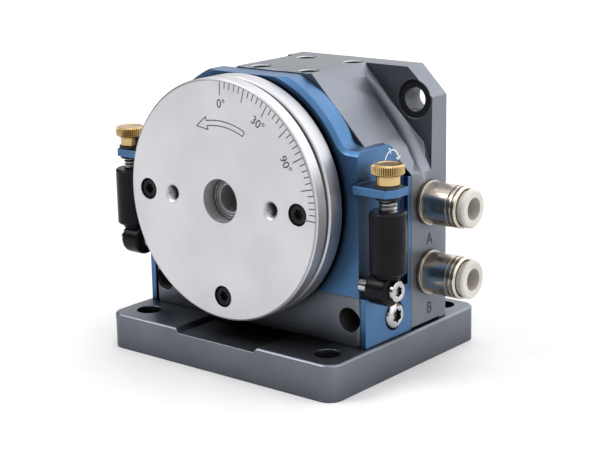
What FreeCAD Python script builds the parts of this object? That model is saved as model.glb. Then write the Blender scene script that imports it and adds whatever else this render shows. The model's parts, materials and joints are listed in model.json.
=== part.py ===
import FreeCAD
import Part
import math
import os

# Pneumatic rotary table, millimetres.
# Frame: X to the right, Y to the rear, Z up, origin at the centre of the base plate's underside.
V = FreeCAD.Vector
UP = V(0, 0, 1)
REAR = V(0, 1, 0)
RIGHT = V(1, 0, 0)

# Base plate
base_ledge = 1.2
base_depth = 67.8
base_thick = 10.2
base_corner_r = 4.0
base_hole_r = 3.5
base_hole_side = 7.8
base_hole_front = 8.1
base_hole_rear = 6.5
channel_half = 13.5
channel_depth = 1.3
channel_under = 2.0
edge_break = 0.5

# Turntable
axis_height = 47.4
table_front_y = -30.0
disc_r = 33.0
table_side = 6.1
disc_thick = 4.4
groove_width = 0.9
groove_depth = 1.2
ring_thick = 5.6
table_bore_r = 6.0
centre_hole_r = 3.75
tapped_r = 2.1
tapped_spacing = 35.0
tapped_depth = 8.5
tapped_lead = 0.4
tapped_mouth = 0.6
clamp_inset = 6.5
clamp_angles = (0, 180, 270)
clamp_recess_depth = 3.2
clamp_length = 6.0

# Output shaft and bearings
collar_r = 14.9
journal_r = 12.5
journal_step = 0.2
shaft_flange_r = 8.0
shaft_flange_depth = 4.1
shaft_r = 5.0
shaft_hole_r = 3.5
shaft_end_gap = 0.4
shaft_pin_r = 1.0
front_bearing_r = 18.5
front_bearing_width = 7.0
front_ball_r = 1.75
front_ball_count = 15
rear_bearing_r = 9.5
rear_bearing_width = 5.0
rear_ball_r = 1.25
rear_ball_count = 10
ring_land = 0.6
rear_cap_r = 13.0
rear_cap_thick = 1.2
rear_cap_hole_r = 4.0
cap_screw_circle_r = 11.2
running_gap = 0.05

# Rack and pinion
gear_module = 0.8
pinion_teeth = 16
pressure_angle = 20.0
backlash = 0.10
addendum = 0.8
rack_addendum = 0.7
dedendum = 1.0
rack_dedendum = 1.05
pinion_width = 8.4
pinion_gap = 1.1
tip_gap = 0.7
rack_r = 4.9
rack_offset = 2.6
rack_end_inset = 10.9
plug_length = 8.95
rack_end_gap = 0.8
rack_bore_gap = 0.1
turn_range = 90.0
seal_width = 2.0
seal_depth = 1.0
seal_setback = 2.4
end_pocket_r = 3.5
end_pocket_depth = 2.5
plug_r = 5.3
plug_ring_r = 0.75
plug_socket_r = 2.9
plug_socket_depth = 3.5

# Stop housing
table_gap = 0.6
house_depth = 6.8
band_wall = 3.65
band_drop = 0.5
band_chamfer = 1.2
cavity_inset = 1.0
cavity_depth = 4.6
cavity_drop = 21.9
collar_gap = 0.3
ear_rise = 15.6
ear_rear = 14.5
ear_fillet = 4.0
cheek_thick = 4.6
cheek_depth = 21.3
pocket_depth = 1.7
rim_width = 1.5
leg_wrap = 1.9
tab_reach = 11.9
tab_thick = 2.2
tab_half = 4.0
tab_top_rise = 7.35
tab_cut_x = 1.7
tab_cut_y = 3.0
house_screw_circle_r = 22.0

# Actuator body
body_depth = 24.0
flange_thick = 7.5
lip_setback = 0.7
lip_depth = 8.8
lip_drop = 23.4
lip_hole_r = 3.3
lip_hole_inset = 5.6
lip_hole_share = 0.5217
lip_hole_depth = 8.2
lip_round = 1.5
shoulder_rise = 5.9
knee_rise = 13.4
knee_inset = 2.7
left_rise = 16.1
top_rise = 33.4
top_right_x = 17.0
top_left_x = -8.5
front_chamfer = 0.3
flange_chamfer = 7.8
flange_left_x = -10.5
scallop_r = 4.0
scallop_shift = 3.8
scallop_lift = 1.5
ear_hole_r = 3.2
ear_hole_inset = 5.8
ear_hole_drop = 8.8
spot_r = 5.2
spot_depth = 0.5
top_hole_r = 2.5
top_hole_x = 5.6
top_hole_spacing_x = 16.6
top_hole_spacing_y = 19.5
top_hole_front = 3.2
top_hole_depth = 10.0
foot_relief = 0.5
foot_relief_width = 2.6
joint_gap = 0.1

# Side dampers
damper_reach = 8.35
damper_setback = 1.5
damper_r = 4.9
damper_length = 16.5
damper_drop = 3.85
damper_travel = 1.05
eye_r = 4.35
eye_gap = 4.45
eye_inner = 3.5
eye_width = 6.6
eye_round = 1.0
eye_neck_r = 3.3
eye_neck_height = 1.0
eye_spigot_r = 2.5
eye_spigot_length = 3.0
stop_pin_r = 1.4
stop_pin_setback = 0.8
stop_pin_tip_x = 22.0
stop_pin_grip = 3.1
pin_collar_r = 2.3
pin_collar_gap = 0.3
stud_r = 2.4
stud_engagement = 8.7
stud_hole_spare = 1.0
stud_clip_r = 3.3
stud_clip_thick = 0.7
washer_r = 3.5
washer_thick = 0.7
knob_neck_r = 3.1
knob_neck_height = 2.6
knob_r = 4.3
knob_height = 2.9
dog_inner_r = 24.0
dog_depth = 4.6
dog_span = 24.0
dog_gap = 0.1

# Port fittings
port_setback = 8.5
port_rises = (-2.9, -22.5)
port_r = 4.2
port_depth = 7.1
port_passage_r = 1.2
spigot_length = 6.0
fitting_flange_r = 6.15
fitting_flange_thick = 1.1
fitting_r = 5.8
fitting_length = 11.9
fitting_groove_depth = 0.4
fitting_groove_width = 0.5
fitting_groove_pitch = 1.5
fitting_hex_length = 2.6
fitting_flat = 0.45
tube_r = 3.05
tube_passage_r = 2.0
collet_neck_r = 4.7
collet_depth = 8.5
collet_flange_r = 5.35
collet_flange_thick = 1.3
collet_gap = 1.1

# Fasteners: head radius, head height, shank radius, hexagon socket radius
M2_FLAT = (1.7, 0.9, 1.0, 0.7)
M3_FLAT = (2.8, 1.5, 1.5, 1.1)
M3_CAP = (2.75, 2.8, 1.5, 1.44)
M3_LOW = (2.75, 1.7, 1.25, 1.2)
M4_BUTTON = (3.8, 2.2, 2.0, 1.44)
M5_CAP = (4.25, 5.0, 2.5, 2.3)
head_clearance = 0.25
head_break = 0.08
socket_share = 0.55
base_screw_x = 22.0
base_screw_y = (-8.0, 13.0)
base_screw_length = 12.0
leg_screw_y = -5.0
leg_screw_share = 0.4565
leg_screw_seat = 1.0
leg_screw_length = 8.0
house_screw_length = 8.0
cap_screw_length = 4.0
eye_screw_length = 3.0

# Places worked out from the sizes above
body_half = disc_r + table_side
base_half = body_half + base_ledge
clamp_seat_y = table_front_y + clamp_recess_depth
ring_front_y = table_front_y + disc_thick
ring_rear_y = ring_front_y + groove_width + ring_thick
house_front_y = ring_rear_y + table_gap
house_floor_y = house_front_y + cavity_depth
body_front_y = house_front_y + house_depth
flange_front_y = body_front_y + body_depth
rear_y = flange_front_y + flange_thick
lip_front_y = house_front_y + lip_setback
lip_rear_y = lip_front_y + lip_depth
cheek_rear_y = house_front_y + cheek_depth
cheek_inner_x = body_half - cheek_thick
pocket_x = body_half - pocket_depth
lip_x = body_half - leg_wrap
cavity_r = disc_r - cavity_inset
band_r = cavity_r + band_wall
clamp_circle_r = disc_r - clamp_inset
lip_top = axis_height - lip_drop
lip_hole_x = body_half - lip_hole_inset
lip_hole_z = base_thick + lip_hole_share * (lip_top - base_thick)
leg_screw_z = base_thick + leg_screw_share * (lip_top - base_thick)
cavity_floor_z = axis_height - cavity_drop
ear_z = axis_height + ear_rise
shoulder_z = axis_height + shoulder_rise
knee_x = body_half - knee_inset
knee_z = axis_height + knee_rise
left_z = axis_height + left_rise
top_z = axis_height + top_rise
band_top_z = top_z - band_drop
ear_hole_x = body_half - ear_hole_inset
ear_hole_z = top_z - ear_hole_drop
damper_x = pocket_x + damper_reach
damper_y = house_front_y + damper_setback
stop_pin_y = damper_y + stop_pin_setback
tab_top_z = axis_height + tab_top_rise
tab_bottom_z = tab_top_z - tab_thick
damper_top_z = tab_bottom_z - damper_drop
damper_bottom_z = damper_top_z - damper_length
eye_z = damper_bottom_z - eye_gap
eye_inner_x = pocket_x + eye_inner
eye_outer_x = eye_inner_x + eye_width
stud_bottom_z = damper_top_z - stud_engagement
knob_foot_z = tab_top_z + washer_thick
knob_head_z = knob_foot_z + knob_neck_height
front_bearing_rear_y = body_front_y + front_bearing_width
journal_rear_y = front_bearing_rear_y - journal_step
shaft_front_y = journal_rear_y - shaft_flange_depth
rear_bearing_rear_y = rear_y - rear_cap_thick
rear_bearing_front_y = rear_bearing_rear_y - rear_bearing_width
pinion_rear_y = rear_bearing_front_y - pinion_gap
pinion_front_y = pinion_rear_y - pinion_width
rack_y = (pinion_front_y + pinion_rear_y) / 2
pitch_r = gear_module * pinion_teeth / 2
rack_axis = pitch_r + rack_offset
rack_bore_r = rack_r + rack_bore_gap
rack_travel = pitch_r * math.radians(turn_range)
rack_heights = (axis_height + rack_axis, axis_height - rack_axis)
rack_end_x = body_half - rack_end_inset
bore_end_x = rack_end_x + rack_end_gap
plug_inner_x = plug_length - body_half
rack_length = rack_end_x - rack_travel - rack_end_gap - plug_inner_x
tooth_pitch = math.pi * gear_module
port_y = rear_y - port_setback
port_heights = tuple(axis_height + rise for rise in port_rises)
fitting_end_x = body_half + fitting_length
leg_seat_x = body_half - leg_screw_seat


def box(x0, x1, y0, y1, z0, z1):
    return Part.makeBox(x1 - x0, y1 - y0, z1 - z0, V(x0, y0, z0))


def along_x(radius, x0, x1, y, z):
    return Part.makeCylinder(radius, x1 - x0, V(x0, y, z), RIGHT)


def along_y(radius, y0, y1, x=0.0, z=axis_height):
    return Part.makeCylinder(radius, y1 - y0, V(x, y0, z), REAR)


def along_z(radius, z0, z1, x, y):
    return Part.makeCylinder(radius, z1 - z0, V(x, y, z0), UP)


def face_of(points):
    return Part.Face(Part.makePolygon(points + points[:1]))


def prism_x(outline, x0, x1):
    return face_of([V(x0, y, z) for y, z in outline]).extrude(V(x1 - x0, 0, 0))


def prism_y(outline, y0, y1):
    return face_of([V(x, y0, z) for x, z in outline]).extrude(V(0, y1 - y0, 0))


def prism_z(outline, z0, z1):
    return face_of([V(x, y, z0) for x, y in outline]).extrude(V(0, 0, z1 - z0))


def turned(outline, centre=V(0, 0, axis_height), axis=REAR):
    """Revolve (radius, distance along the axis) points about an axis through centre."""
    side = UP if axis != UP else RIGHT
    points = [centre + side * radius + axis * distance for radius, distance in outline]
    return face_of(points).revolve(centre, axis, 360)


def mirrored(shape):
    return shape.mirror(V(0, 0, 0), RIGHT)


def solid(shape):
    """The one solid of a boolean result, with its split faces joined."""
    return shape.removeSplitter().Solids[0]


def chamfered(shape, size, test):
    return shape.makeChamfer(size, [edge for edge in shape.Edges if test(edge)])


def filleted(shape, radius, test):
    return shape.makeFillet(radius, [edge for edge in shape.Edges if test(edge)])


def parallel(edge, axis):
    """True for a straight edge along an axis."""
    if len(edge.Vertexes) != 2 or edge.Curve.TypeId != "Part::GeomLine":
        return False
    span = edge.Vertexes[1].Point - edge.Vertexes[0].Point
    return abs(abs(span.normalize().dot(axis)) - 1) < 1e-6


def level(edge, axis, value):
    """True for an edge that lies in the plane at a value along an axis."""
    box_of = edge.BoundBox
    low = V(box_of.XMin, box_of.YMin, box_of.ZMin).dot(axis)
    high = V(box_of.XMax, box_of.YMax, box_of.ZMax).dot(axis)
    return abs(low - value) < 1e-4 and abs(high - value) < 1e-4


def polar(radius, degrees):
    angle = math.radians(degrees)
    return radius * math.cos(angle), radius * math.sin(angle)


def hexagon(radius, depth):
    points = [V(*polar(radius, 60 * corner), 0) for corner in range(6)]
    return face_of(points).extrude(V(0, 0, -depth))


def placed(shape, point, direction):
    """Move a piece made about +Z so that it points along a direction."""
    moved = shape.copy()
    moved.Placement = FreeCAD.Placement(point, FreeCAD.Rotation(UP, direction))
    return moved


def cap_screw(size, length):
    """Socket screw with the underside of its head at the origin and its head along +Z."""
    head_r, head_height, shank_r, socket_r = size
    head = chamfered(
        Part.makeCylinder(head_r, head_height), head_break * head_r, lambda edge: level(edge, UP, head_height)
    )
    socket = hexagon(socket_r, head_height * socket_share)
    socket.translate(UP * head_height)
    shank = Part.makeCylinder(shank_r, length, V(0, 0, -length))
    return solid(head.fuse(shank).cut(socket))


def button_screw(size, length):
    """Screw with a domed head, seated at the origin with its head along +Z."""
    head_r, head_height, shank_r, socket_r = size
    dome_r = (head_r ** 2 + head_height ** 2) / (2 * head_height)
    dome = Part.makeSphere(dome_r, V(0, 0, head_height - dome_r))
    head = dome.common(Part.makeCylinder(head_r, head_height))
    socket = hexagon(socket_r, head_height * socket_share)
    socket.translate(UP * head_height)
    shank = Part.makeCylinder(shank_r, length, V(0, 0, -length))
    return solid(head.fuse(shank).cut(socket))


def flat_screw(size, length):
    """Countersunk screw with the top of its head at the origin."""
    head_r, head_height, shank_r, socket_r = size
    cone = Part.makeCone(shank_r, head_r, head_height, V(0, 0, -head_height))
    shank = Part.makeCylinder(shank_r, length, V(0, 0, -length))
    return solid(cone.fuse(shank).cut(hexagon(socket_r, head_height * socket_share)))


def export(name, *shapes):
    solids = [piece for shape in shapes for piece in shape.Solids]
    result = solids[0] if len(solids) == 1 else Part.makeCompound(solids)
    result.exportStep("parts/" + name + ".step")


def both_sides(shape):
    return shape.fuse(mirrored(shape))


def base_hole_places():
    x = base_half - base_hole_side
    front_y = base_hole_front - base_depth / 2
    back_y = base_depth / 2 - base_hole_rear
    return [(side * x, y) for side in (-1, 1) for y in (front_y, back_y)]


def base_screw_places():
    return [(side * base_screw_x, y) for side in (-1, 1) for y in base_screw_y]


def base_screw_seat():
    return M5_CAP[1] + head_clearance


def base_plate():
    """Mounting plate with corner holes, a shallow front channel and screw recesses underneath."""
    half_depth = base_depth / 2
    plate = box(-base_half, base_half, -half_depth, half_depth, 0, base_thick)
    plate = filleted(plate, base_corner_r, lambda edge: parallel(edge, UP))
    plate = chamfered(plate, edge_break, lambda edge: level(edge, UP, base_thick))
    wide = channel_half + channel_depth
    floor_z = base_thick - channel_depth
    outline = [(-channel_half, floor_z), (channel_half, floor_z), (wide, base_thick), (-wide, base_thick)]
    plate = plate.cut(prism_y(outline, -half_depth, lip_front_y + channel_under))
    for x, y in base_hole_places():
        plate = plate.cut(along_z(base_hole_r, 0, base_thick, x, y))
    head_r, _, shank_r, _ = M5_CAP
    for x, y in base_screw_places():
        plate = plate.cut(along_z(shank_r + head_clearance, 0, base_thick, x, y))
        plate = plate.cut(along_z(head_r + head_clearance, 0, base_screw_seat(), x, y))
    return solid(plate)


def base_screws():
    screw = cap_screw(M5_CAP, base_screw_length)
    return [placed(screw, V(x, y, base_screw_seat()), -UP) for x, y in base_screw_places()]


def cheek_outline(grow=0.0):
    """Side view of a cheek, from the foot of its leg up to the ear."""
    return [
        (house_front_y, base_thick),
        (house_front_y, ear_z + grow),
        (house_front_y + ear_rear, ear_z + grow),
        (cheek_rear_y + grow, shoulder_z + grow),
        (cheek_rear_y + grow, base_thick),
    ]


def section_outline():
    """Front view of the block: a steep right shoulder with a knee, and one flatter left slope."""
    return [
        (body_half, base_thick),
        (body_half, shoulder_z),
        (knee_x, knee_z),
        (top_right_x, top_z),
        (top_left_x, top_z),
        (-body_half, left_z),
        (-body_half, base_thick),
    ]


def flange_outline():
    """Rear flange: an ear on the right, and a left corner cut at 45 degrees down to the block's slope."""
    fall = (top_z - left_z) / (body_half + top_left_x)
    drop = fall * (top_left_x - flange_left_x) / (1 - fall)
    return [
        (body_half, base_thick),
        (body_half, top_z - flange_chamfer),
        (body_half - flange_chamfer, top_z),
        (flange_left_x, top_z),
        (flange_left_x - drop, top_z - fall * (top_left_x - flange_left_x + drop)),
        (-body_half, left_z),
        (-body_half, base_thick),
    ]


def top_hole_places():
    front_y = body_front_y + top_hole_front
    xs = (top_hole_x - top_hole_spacing_x / 2, top_hole_x + top_hole_spacing_x / 2)
    return [(x, y) for x in xs for y in (front_y, front_y + top_hole_spacing_y)]


def scallop():
    """Round groove that runs down the right-hand slope in front of the flange."""
    high = V(top_right_x + scallop_shift, 0, top_z)
    low = V(knee_x, 0, knee_z)
    run = (low - high).normalize()
    outward = V(-run.z, 0, run.x)
    start = high - run * top_rise + outward * scallop_lift
    start.y = flange_front_y - scallop_r
    return Part.makeCylinder(scallop_r, 3 * top_rise, start, run)


def actuator_body():
    """Machined block that holds the racks, bearings and ports."""
    section = prism_y(section_outline(), body_front_y, flange_front_y)
    section = chamfered(section, front_chamfer, lambda edge: level(edge, REAR, body_front_y)
                        and edge.BoundBox.ZMin > knee_z - joint_gap and edge.BoundBox.XMax > 0)
    flange = prism_y(flange_outline(), flange_front_y, rear_y)
    flange = chamfered(flange, edge_break, lambda edge: level(edge, REAR, rear_y))
    lip = box(-lip_x, lip_x, lip_front_y, lip_rear_y, base_thick, lip_top)
    lip = filleted(lip, lip_round, lambda edge: parallel(edge, UP) and level(edge, REAR, lip_front_y))
    cheek_space = prism_x(cheek_outline(joint_gap), cheek_inner_x - joint_gap, body_half)
    body = section.cut(scallop()).fuse(flange).cut(both_sides(cheek_space)).fuse(lip)
    for cutter in bearing_bores() + rack_bores() + ports() + body_holes():
        body = body.cut(cutter)
    return solid(body)


def bearing_bores():
    return [
        along_y(front_bearing_r, body_front_y, front_bearing_rear_y),
        along_y(pitch_r + addendum + tip_gap, front_bearing_rear_y, rear_bearing_front_y),
        along_y(rear_bearing_r, rear_bearing_front_y, rear_bearing_rear_y),
        along_y(rear_cap_r, rear_bearing_rear_y, rear_y),
    ]


def rack_bores():
    """Bores that are open at the left for the plugs and end in a pocket at the right."""
    bores = []
    for z in rack_heights:
        bores.append(along_x(rack_bore_r, plug_inner_x, bore_end_x, rack_y, z))
        bores.append(along_x(plug_r, -body_half, plug_inner_x, rack_y, z))
        bores.append(along_x(end_pocket_r, bore_end_x, bore_end_x + end_pocket_depth, rack_y, z))
    return bores


def ports():
    """Ports in the right face, each with a drilled passage up to the end pocket of its bore."""
    cutters = []
    drill_x = bore_end_x + end_pocket_depth / 2
    for z, bore_z in zip(port_heights, rack_heights):
        cutters.append(along_x(port_r, body_half - port_depth, body_half, port_y, z))
        cutters.append(along_x(port_passage_r, drill_x, body_half - port_depth, port_y, z))
        cutters.append(along_z(port_passage_r, z, bore_z, drill_x, port_y))
    return cutters


def body_holes():
    spot_front = flange_front_y - 2 * scallop_r
    cutters = [
        along_y(ear_hole_r, flange_front_y, rear_y, ear_hole_x, ear_hole_z),
        along_y(spot_r, spot_front, flange_front_y + spot_depth, ear_hole_x, ear_hole_z),
    ]
    for x, y in top_hole_places():
        mouth = V(x, y, top_z - edge_break)
        cutters.append(along_z(top_hole_r, top_z - top_hole_depth, top_z, x, y))
        cutters.append(Part.makeCone(top_hole_r, top_hole_r + edge_break, edge_break, mouth))
    for x, y in base_screw_places():
        cutters.append(along_z(M5_CAP[2], base_thick, base_screw_seat() + base_screw_length, x, y))
    for x, z in around_axis(house_screw_circle_r, 4, 45):
        cutters.append(along_y(M3_FLAT[2], body_front_y, house_floor_y + house_screw_length, x, z))
    for x, z in around_axis(cap_screw_circle_r, 3, 90):
        cutters.append(along_y(M2_FLAT[2], rear_y - cap_screw_length, rear_y, x, z))
    lip_hole = along_y(lip_hole_r, lip_front_y, lip_front_y + lip_hole_depth, lip_hole_x, lip_hole_z)
    leg_tap = along_x(M4_BUTTON[2], leg_seat_x - leg_screw_length, body_half, leg_screw_y, leg_screw_z)
    relief = box(body_half - foot_relief_width, body_half, cheek_rear_y, rear_y - flange_thick / 2,
                 base_thick, base_thick + foot_relief)
    return cutters + [both_sides(shape) for shape in (lip_hole, leg_tap, relief)]


def around_axis(radius, count, first_angle):
    """Places in front view on a circle about the table axis."""
    angles = [first_angle + 360 * number / count for number in range(count)]
    return [(x, axis_height + z) for x, z in (polar(radius, angle) for angle in angles)]


def tab():
    """Bracket under a knob, standing out from the right-hand cheek."""
    outer_x = pocket_x + tab_reach
    front_y = damper_y - tab_half
    outline = [
        (pocket_x, front_y),
        (outer_x - tab_cut_x, front_y),
        (outer_x, front_y + tab_cut_y),
        (outer_x, damper_y + tab_half),
        (pocket_x, damper_y + tab_half),
    ]
    plate = prism_z(outline, tab_bottom_z, tab_top_z)
    return plate.cut(along_z(stud_r + running_gap, tab_bottom_z, tab_top_z, damper_x, damper_y))


def right_cheek():
    """Cheek wall with its rear rim, leg, leg wrap and tab."""
    wall = prism_x(cheek_outline(), cheek_inner_x, pocket_x)
    wall = filleted(wall, ear_fillet, lambda edge: parallel(edge, RIGHT)
                    and level(edge, UP, ear_z) and edge.BoundBox.YMin > body_front_y)
    wall = chamfered(wall, band_chamfer, lambda edge: parallel(edge, RIGHT)
                     and level(edge, UP, ear_z) and level(edge, REAR, house_front_y))
    wall = wall.cut(box(0, body_half, house_front_y, cheek_rear_y, base_thick, lip_top))
    rim = prism_x(cheek_outline(), pocket_x, body_half)
    rim = rim.common(box(0, body_half, cheek_rear_y - rim_width, cheek_rear_y, lip_top, shoulder_z))
    leg = box(cheek_inner_x, body_half, lip_rear_y, cheek_rear_y, base_thick, lip_top)
    wrap = box(lip_x, body_half, lip_front_y, lip_rear_y, base_thick, lip_top)
    head_r, _, shank_r, _ = M4_BUTTON
    seat = along_x(head_r + head_clearance, leg_seat_x, body_half, leg_screw_y, leg_screw_z)
    shank = along_x(shank_r + head_clearance, cheek_inner_x, body_half, leg_screw_y, leg_screw_z)
    return wall.fuse([rim, leg, wrap, tab()]).cut(seat.fuse(shank))


def front_housing():
    """Anodised housing in one piece: band round the table, cavity for the stop dogs, cheeks and tabs."""
    shoulders = box(-pocket_x, pocket_x, house_front_y, body_front_y, lip_top, ear_z)
    wall = along_y(band_r, house_front_y, body_front_y).fuse(shoulders).removeSplitter()
    wall = filleted(wall, ear_fillet, lambda edge: parallel(edge, REAR)
                    and level(edge, UP, ear_z) and abs(edge.BoundBox.XMax) < pocket_x - joint_gap
                    and abs(edge.BoundBox.XMin) < pocket_x - joint_gap)
    wall = chamfered(wall, band_chamfer, lambda edge: level(edge, REAR, house_front_y)
                     and edge.BoundBox.ZMin > ear_z - joint_gap)
    wall = wall.cut(box(-band_r, band_r, house_front_y, body_front_y, band_top_z, axis_height + band_r))
    wall = wall.cut(box(-band_r, band_r, house_front_y, body_front_y, 0, lip_top))
    cavity = along_y(cavity_r, house_front_y, house_floor_y)
    below = box(-disc_r, disc_r, house_front_y, house_floor_y, 0, cavity_floor_z)
    housing = wall.fuse(both_sides(right_cheek())).cut(cavity.cut(below))
    housing = housing.cut(along_y(collar_r + collar_gap, house_floor_y, body_front_y))
    slot_half = stop_pin_r + collar_gap / 2
    slot_low = eye_z - stop_pin_r - damper_travel - dog_gap
    slot = box(stop_pin_tip_x - collar_gap, body_half, stop_pin_y - slot_half, stop_pin_y + slot_half,
               slot_low, eye_z + stop_pin_r + collar_gap)
    housing = housing.cut(both_sides(slot))
    head_r, head_height, shank_r, _ = M3_FLAT
    for x, z in around_axis(house_screw_circle_r, 4, 45):
        sink = Part.makeCone(head_r, shank_r, head_height, V(x, house_floor_y, z), REAR)
        housing = housing.cut(sink.fuse(along_y(shank_r, house_floor_y, body_front_y, x, z)))
    return solid(housing)


def housing_screws():
    screw = flat_screw(M3_FLAT, house_screw_length)
    return [placed(screw, V(x, house_floor_y, z), -REAR) for x, z in around_axis(house_screw_circle_r, 4, 45)]


def leg_screws():
    right = placed(button_screw(M4_BUTTON, leg_screw_length), V(leg_seat_x, leg_screw_y, leg_screw_z), RIGHT)
    return [right, mirrored(right)]


def clamp_places():
    return [(x, axis_height + z) for x, z in (polar(clamp_circle_r, angle) for angle in clamp_angles)]


def table_plate():
    """Front disc with the centre bore, clamp screw recesses and tapped holes."""
    plate = along_y(disc_r, table_front_y, ring_front_y)
    plate = chamfered(plate, edge_break, lambda edge: edge.Curve.TypeId == "Part::GeomCircle")
    plate = plate.cut(along_y(table_bore_r, table_front_y, ring_front_y))
    head_r, _, shank_r, _ = M3_CAP
    for x, z in clamp_places():
        plate = plate.cut(along_y(head_r + head_clearance, table_front_y, clamp_seat_y, x, z))
        plate = plate.cut(along_y(shank_r, table_front_y, ring_front_y, x, z))
    for x in (-tapped_spacing / 2, tapped_spacing / 2):
        mouth = V(x, table_front_y, axis_height)
        plate = plate.cut(along_y(tapped_r, table_front_y, ring_front_y, x))
        plate = plate.cut(Part.makeCone(tapped_r + tapped_mouth, tapped_r, tapped_lead, mouth, REAR))
    return solid(plate)


def stop_dog():
    """Right-hand stop dog with its flat face just above the right stop pin."""
    face_z = eye_z + stop_pin_r + dog_gap
    dog_r = cavity_r - cavity_inset
    rear = ring_rear_y + dog_depth
    ring = along_y(dog_r, ring_rear_y, rear).cut(along_y(dog_inner_r, ring_rear_y, rear))
    start = math.degrees(math.asin((face_z - axis_height) / dog_r))
    far_x, far_z = polar(2 * disc_r, start + dog_span)
    wedge = [(0, face_z), (2 * disc_r, face_z), (far_x, axis_height + far_z), (0, axis_height)]
    return ring.common(prism_y(wedge, ring_rear_y, rear))


def table_hub():
    """Ring, stop dogs, collar and bearing journal in one turned piece."""
    neck_r = disc_r - groove_depth
    ring_y = ring_front_y + groove_width
    hub = turned([
        (centre_hole_r, ring_front_y), (neck_r, ring_front_y), (neck_r, ring_y),
        (disc_r - edge_break, ring_y), (disc_r, ring_y + edge_break),
        (disc_r, ring_rear_y - edge_break), (disc_r - edge_break, ring_rear_y),
        (collar_r, ring_rear_y), (collar_r, body_front_y), (journal_r, body_front_y),
        (journal_r, journal_rear_y), (centre_hole_r, journal_rear_y),
    ])
    left_dog = mirrored(stop_dog())
    left_dog.rotate(V(0, 0, axis_height), REAR, turn_range)
    hub = hub.fuse([stop_dog(), left_dog])
    hub = hub.cut(along_y(shaft_flange_r, shaft_front_y, journal_rear_y))
    for x, z in clamp_places():
        hub = hub.cut(along_y(M3_CAP[2], ring_front_y, clamp_seat_y + clamp_length, x, z))
    for x in (-tapped_spacing / 2, tapped_spacing / 2):
        hub = hub.cut(along_y(tapped_r, ring_front_y, table_front_y + tapped_depth, x))
    for pin in shaft_pins():
        hub = hub.cut(pin)
    return solid(hub)


def table_screws():
    screw = cap_screw(M3_CAP, clamp_length)
    return [placed(screw, V(x, clamp_seat_y, z), -REAR) for x, z in clamp_places()]


def shaft_pins():
    """Pins on the joint line between hub and shaft flange, which carry the torque."""
    places = around_axis(shaft_flange_r, 2, 0)
    return [along_y(shaft_pin_r, shaft_front_y, journal_rear_y, x, z) for x, z in places]


def involute_flank(base_r, outer_r, start_angle, side, steps=6):
    """Points from the base circle to the tip; side 1 or -1 chooses the flank."""
    points = []
    last = math.sqrt((outer_r / base_r) ** 2 - 1)
    for step in range(steps + 1):
        roll = last * step / steps
        angle = start_angle + side * (roll - math.atan(roll))
        radius = base_r * math.sqrt(1 + roll ** 2)
        points.append(V(radius * math.sin(angle), 0, radius * math.cos(angle)))
    return points


def gear_outline():
    """Closed involute outline with a tooth centred on +Z."""
    pressure = math.radians(pressure_angle)
    base_r = pitch_r * math.cos(pressure)
    tip_r = pitch_r + addendum
    root_r = pitch_r - dedendum
    half_tooth = (tooth_pitch - backlash) / (4 * pitch_r) + math.tan(pressure) - pressure
    step = 2 * math.pi / pinion_teeth

    def at(radius, angle):
        return V(radius * math.sin(angle), 0, radius * math.cos(angle))

    edges = []
    for tooth in range(pinion_teeth):
        middle = step * tooth
        left = middle - half_tooth
        right = middle + half_tooth
        rise = involute_flank(base_r, tip_r, left, 1)
        fall = involute_flank(base_r, tip_r, right, -1)
        for flank in (rise, fall):
            curve = Part.BSplineCurve()
            curve.interpolate(flank)
            edges.append(curve.toShape())
        edges.append(Part.LineSegment(at(root_r, left), rise[0]).toShape())
        edges.append(Part.LineSegment(at(root_r, right), fall[0]).toShape())
        edges.append(Part.Arc(rise[-1], at(tip_r, middle), fall[-1]).toShape())
        gap_middle = at(root_r, middle + step / 2)
        edges.append(Part.Arc(at(root_r, right), gap_middle, at(root_r, left + step)).toShape())
    return Part.Wire(Part.__sortEdges__(edges))


def pinion_shaft():
    """Hollow shaft with its flange, involute pinion and rear journal."""
    gear = Part.Face(gear_outline()).extrude(V(0, pinion_width, 0))
    gear.translate(V(0, pinion_front_y, axis_height))
    end_y = rear_bearing_rear_y - shaft_end_gap
    flange = along_y(shaft_flange_r, shaft_front_y, journal_rear_y)
    shaft = along_y(shaft_r, shaft_front_y, end_y).fuse([flange, gear])
    shaft = shaft.cut(along_y(shaft_hole_r, shaft_front_y, end_y))
    for pin in shaft_pins():
        shaft = shaft.cut(pin)
    return solid(shaft)


def rack(first_x, last_x, moved):
    """Upper rack with its teeth facing down; moved is how far it stands from its right-hand end."""
    bar_z = axis_height + rack_axis
    right_x = rack_end_x - moved
    ends = (right_x - rack_length, right_x)
    bar = along_x(rack_r, ends[0], ends[1], rack_y, bar_z)
    bar = chamfered(bar, edge_break, lambda edge: any(level(edge, RIGHT, x) for x in ends))
    tip_z = axis_height + pitch_r - rack_addendum
    root_z = axis_height + pitch_r + rack_dedendum
    slope = math.tan(math.radians(pressure_angle))
    half_gap = (tooth_pitch + backlash) / 4
    wide = half_gap + rack_addendum * slope
    narrow = half_gap - rack_dedendum * slope
    sides = (rack_y - rack_r, rack_y + rack_r)
    bar = bar.cut(box(first_x, last_x, sides[0], sides[1], bar_z - rack_r, tip_z))
    for number in range(math.ceil(first_x / tooth_pitch), math.floor(last_x / tooth_pitch) + 1):
        x = number * tooth_pitch
        gap = [(x - wide, tip_z), (x - narrow, root_z), (x + narrow, root_z), (x + wide, tip_z)]
        bar = bar.cut(prism_y(gap, sides[0], sides[1]))
    return solid(bar.cut(rack_seal(moved)))


def rack_seal(moved):
    """Piston ring near the pressure end of a rack."""
    right_x = rack_end_x - moved - seal_setback
    bar_z = axis_height + rack_axis
    ring = along_x(rack_r + running_gap, right_x - seal_width, right_x, rack_y, bar_z)
    return solid(ring.cut(along_x(rack_r - seal_depth, right_x - seal_width, right_x, rack_y, bar_z)))


def lower(shape):
    """Copy of an upper rack piece below the shaft."""
    return shape.mirror(V(0, 0, axis_height), UP)


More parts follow.
